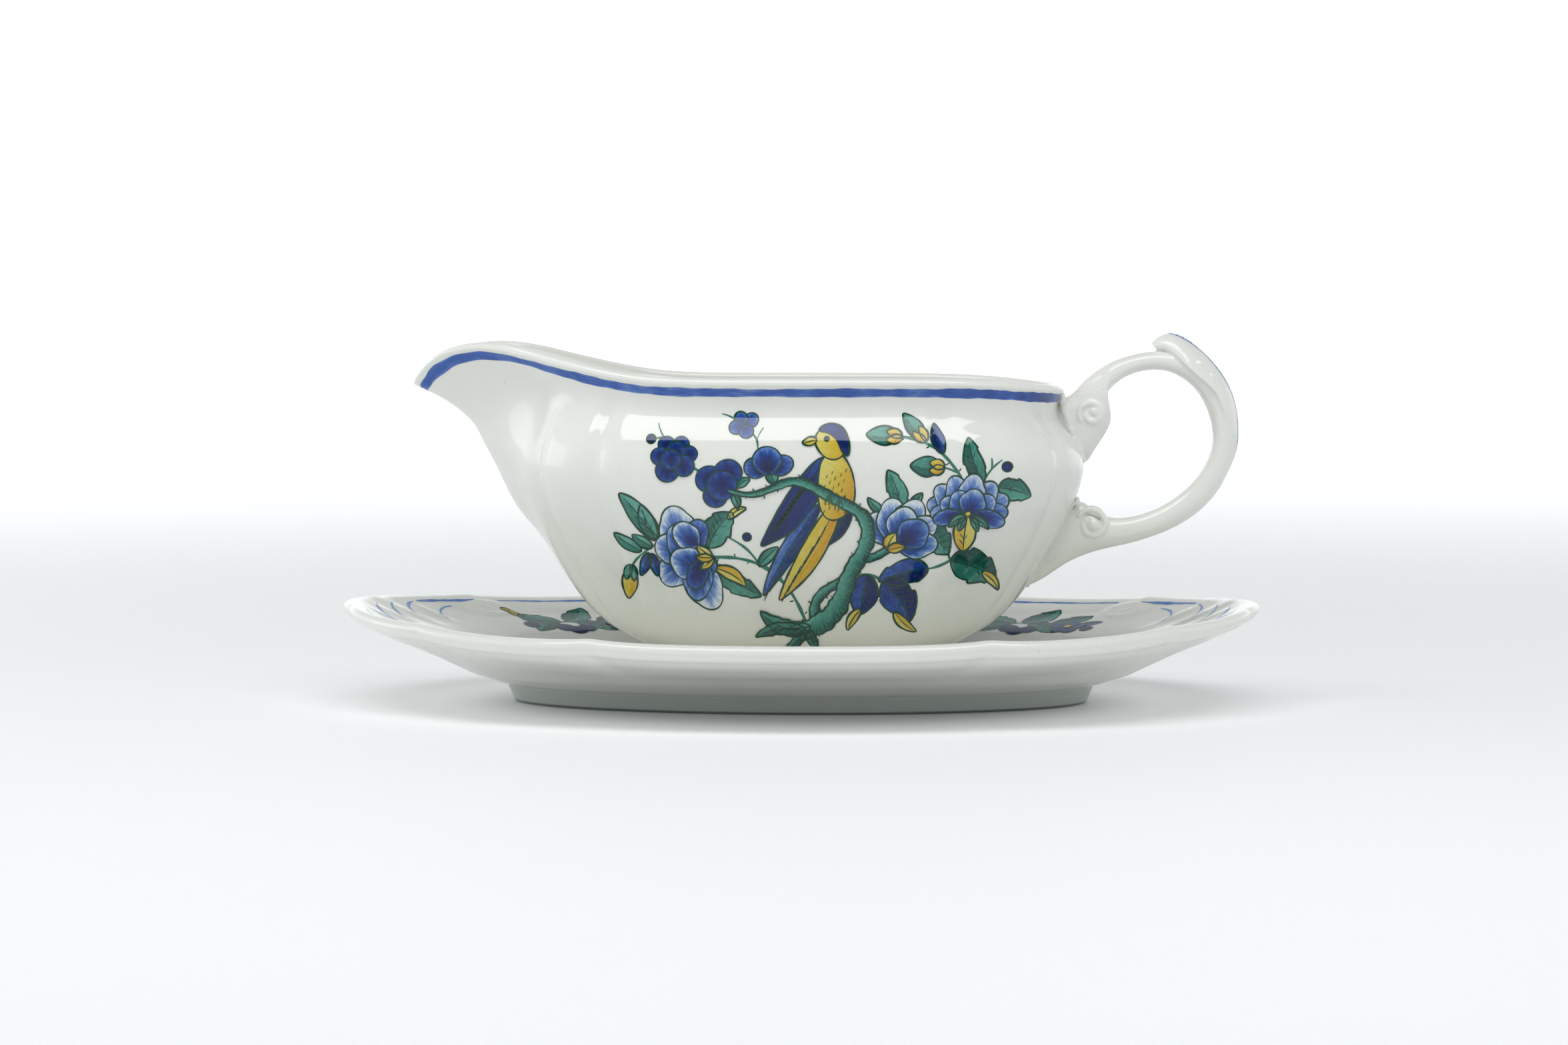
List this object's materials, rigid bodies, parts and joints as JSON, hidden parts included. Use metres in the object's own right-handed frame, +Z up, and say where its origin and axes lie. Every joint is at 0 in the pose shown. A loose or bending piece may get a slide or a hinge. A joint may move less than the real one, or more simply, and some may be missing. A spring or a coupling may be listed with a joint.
{
  "type": "gravy boat with saucer",
  "caption": "White porcelain sauce boat with a pouring spout and a loop handle, standing on an oval saucer; painted bird and blossoms.",
  "frame": {"origin": "centre of the saucer's foot ring, on the table", "axes": "+Z up; -X towards the spout; +X towards the handle; Y across the boat"},
  "size_m": [0.2298, 0.152, 0.0926],
  "materials": {
    "saucer": "glossy white glaze with a thin blue painted line",
    "boat_body": "glossy white glaze with a blue rim line and painted decoration",
    "handle": "glossy white glaze"
  },
  "bodies": {
    "saucer": {"saucer": "saucer"},
    "boat": {"boat_body": "boat_body", "handle": "handle"}
  },
  "joints": [
    {"name": "boat_lift", "type": "slide", "parent": "saucer", "child": "boat", "axis": [0, 0, 1], "range_m": [0, 0.1]}
  ]
}
